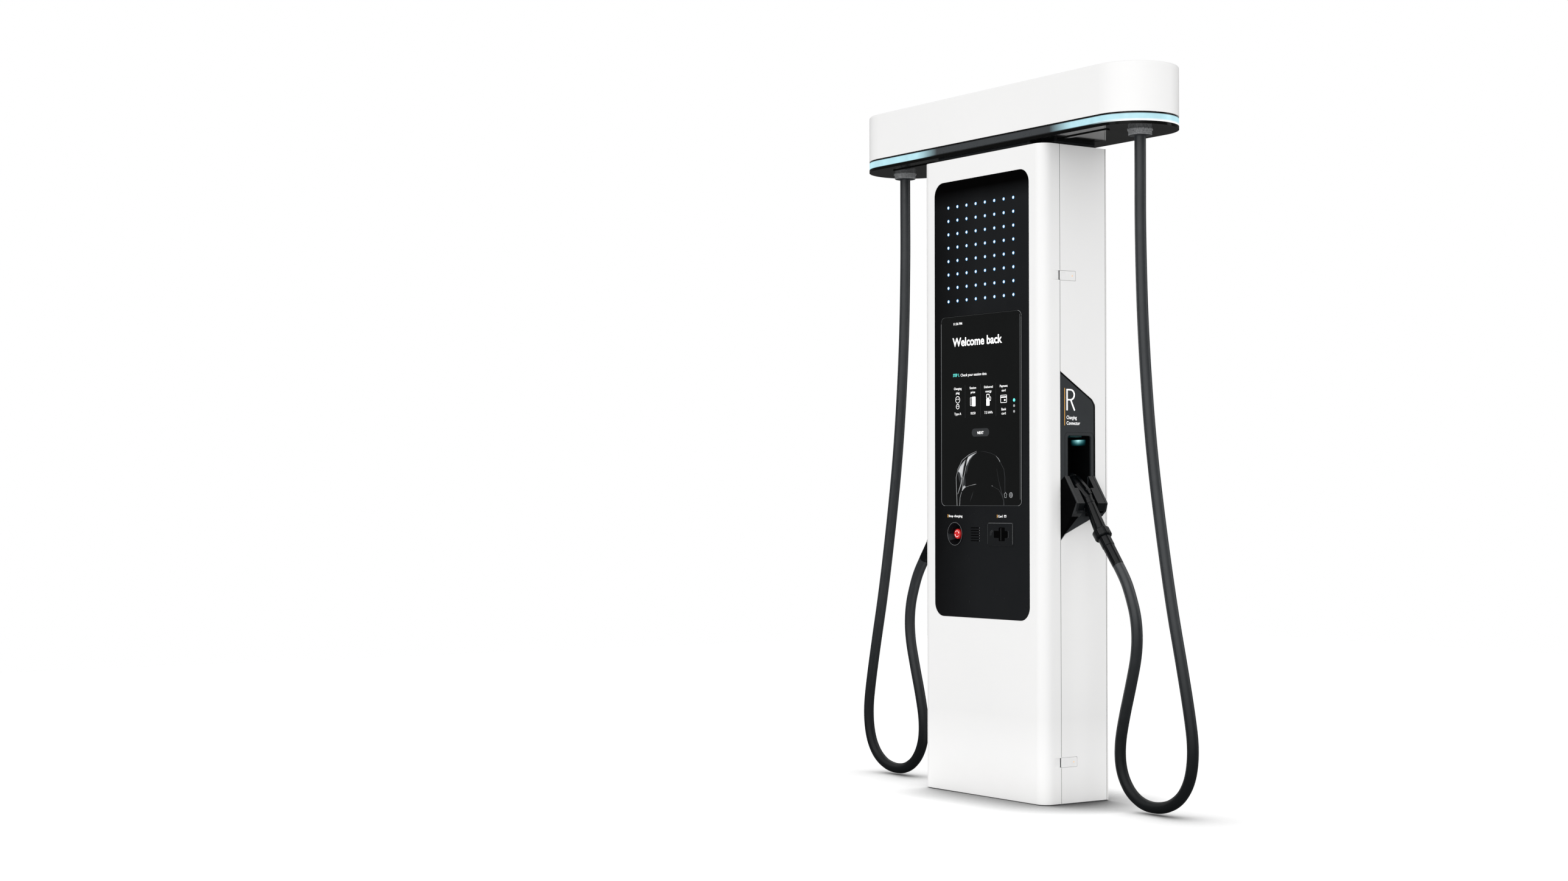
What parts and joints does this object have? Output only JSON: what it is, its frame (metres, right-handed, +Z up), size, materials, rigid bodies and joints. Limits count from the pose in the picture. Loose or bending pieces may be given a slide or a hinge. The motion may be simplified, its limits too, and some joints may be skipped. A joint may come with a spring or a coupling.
{
  "type": "ev charging post",
  "caption": "Free-standing electric vehicle charging post: steel cabinet with a hinged glass-fronted door, lit canopy, hanging cables and connector holsters on both sides.",
  "frame": {"origin": "on the floor, at the middle of the base plate's anchor pattern", "axes": "+X to the right seen from the front, +Y to the back, +Z up"},
  "size_m": [1.587, 0.279, 2.2],
  "materials": {
    "white_paint": "satin powder coat",
    "latch_paint": "satin",
    "gloss_black": "mirror gloss",
    "light_ring": "opal diffuser",
    "lens": "opal lens",
    "black_glass": "polished back-painted glass",
    "display_glass": "polished display cover glass",
    "dark_plastic": "fine-textured moulding",
    "black_plastic": "satin moulding",
    "soft_black": "matt rubber",
    "cable_jacket": "matt cable jacket",
    "gland_metal": "knurled grey",
    "red_plastic": "satin red",
    "steel": "zinc-coated",
    "device_grey": "moulded",
    "board_green": "solder mask"
  },
  "bodies": {
    "cabinet": {"base_plate": "steel", "cable_glands": "gland_metal", "canopy_beam": "steel", "canopy_light_ring": "light_ring", "canopy_plate": "gloss_black", "canopy_shell": "white_paint", "charge_cable_left": "cable_jacket", "charge_cable_right": "cable_jacket", "connector_collar_left": "soft_black", "connector_collar_right": "soft_black", "connector_handle_left": "black_plastic", "connector_handle_right": "black_plastic", "connector_head_left": "black_plastic", "connector_head_right": "black_plastic", "contactors": "device_grey", "controller_board": "board_green", "corner_posts": "steel", "cradle_liners": "soft_black", "cradle_shell_left": "dark_plastic", "cradle_shell_right": "dark_plastic", "din_rails": "steel", "energy_meter": "device_grey", "hinge_fixed_halves": "white_paint", "holster_bezel_left": "dark_plastic", "holster_bezel_right": "dark_plastic", "holster_lenses": "lens", "holster_pocket_left": "black_plastic", "holster_pocket_right": "black_plastic", "latch_housings": "steel", "mounting_plate": "steel", "neck": "dark_plastic", "power_supply": "device_grey", "rear_panel": "white_paint", "rear_screws": "steel", "roof_plate": "steel", "side_panel_left": "white_paint", "side_panel_right": "white_paint", "strain_relief_left": "soft_black", "strain_relief_right": "soft_black", "terminal_block": "device_grey"},
    "front_door": {"door_shell": "white_paint", "door_frame": "steel", "door_gasket": "soft_black", "glass_panel": "black_glass", "display_glass": "display_glass", "display_module": "device_grey", "led_lenses": "lens", "led_board": "board_green", "estop_housing": "dark_plastic", "estop_contact_block": "black_plastic", "speaker": "black_plastic", "card_reader": "dark_plastic", "card_window": "gloss_black", "hinge_door_halves": "white_paint"},
    "estop_plunger": {"estop_stem": "black_plastic"},
    "estop_button": {"estop_head": "red_plastic"},
    "upper_latch": {"latch_lever_upper": "latch_paint"},
    "lower_latch": {"latch_lever_lower": "latch_paint"},
    "connector_latch_right": {"release_lever_right": "black_plastic"},
    "connector_latch_left": {"release_lever_left": "black_plastic"}
  },
  "joints": [
    {"name": "door_hinge", "type": "hinge", "parent": "cabinet", "child": "front_door", "pos_m": [-0.3, -0.0615, 1], "axis": [0, 0, -1], "range_deg": [0, 90]},
    {"name": "estop_push", "type": "slide", "parent": "front_door", "child": "estop_plunger", "axis": [0, 1, 0], "range_m": [0, 0.005]},
    {"name": "estop_twist", "type": "hinge", "parent": "estop_plunger", "child": "estop_button", "pos_m": [-0.1273, -0.118, 0.8124], "axis": [0, -1, 0], "range_deg": [-30, 0], "stiffness_Nm_per_rad": 0.05},
    {"name": "upper_latch_hinge", "type": "hinge", "parent": "cabinet", "child": "upper_latch", "pos_m": [0.2913, -0.001, 1.6005], "axis": [0, 0, 1], "range_deg": [0, 55]},
    {"name": "lower_latch_hinge", "type": "hinge", "parent": "cabinet", "child": "lower_latch", "pos_m": [0.2913, -0.001, 0.1265], "axis": [0, 0, 1], "range_deg": [0, 55]},
    {"name": "connector_latch_right_press", "type": "hinge", "parent": "cabinet", "child": "connector_latch_right", "pos_m": [0.33338, 0.012, 0.95106], "axis": [0, 1, 0], "range_deg": [0, 6], "stiffness_Nm_per_rad": 0.4},
    {"name": "connector_latch_left_press", "type": "hinge", "parent": "cabinet", "child": "connector_latch_left", "pos_m": [-0.33338, 0.012, 0.95106], "axis": [0, -1, 0], "range_deg": [0, 6], "stiffness_Nm_per_rad": 0.4}
  ]
}
